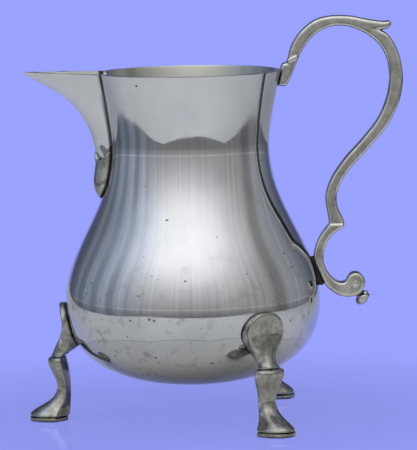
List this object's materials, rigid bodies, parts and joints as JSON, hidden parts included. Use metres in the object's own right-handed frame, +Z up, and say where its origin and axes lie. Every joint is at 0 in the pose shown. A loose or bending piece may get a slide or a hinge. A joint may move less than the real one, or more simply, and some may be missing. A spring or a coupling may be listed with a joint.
{
  "type": "cream jug",
  "caption": "Pear-shaped pewter cream jug with a beak spout, a double-scroll handle and cabriole legs on slipper feet, for pouring milk or cream at table.",
  "frame": {"origin": "on the table, in the jug's plane of symmetry, halfway between the tip of the spout and the back of the handle", "axes": "+Z up, +X towards the handle, so the spout points along -X"},
  "size_m": [0.1172, 0.087, 0.1235],
  "materials": {
    "turned_pewter": "turned and polished, with fine wear",
    "sheet_pewter": "bent sheet, polished",
    "cast_pewter": "cast, satin, slightly darker in the hollows"
  },
  "bodies": {
    "root": {"body_neck": "turned_pewter", "body_bowl": "turned_pewter", "spout": "sheet_pewter", "spout_drop": "cast_pewter", "handle": "cast_pewter", "leg_spout": "cast_pewter", "leg_near": "cast_pewter", "leg_far": "cast_pewter"}
  },
  "joints": []
}
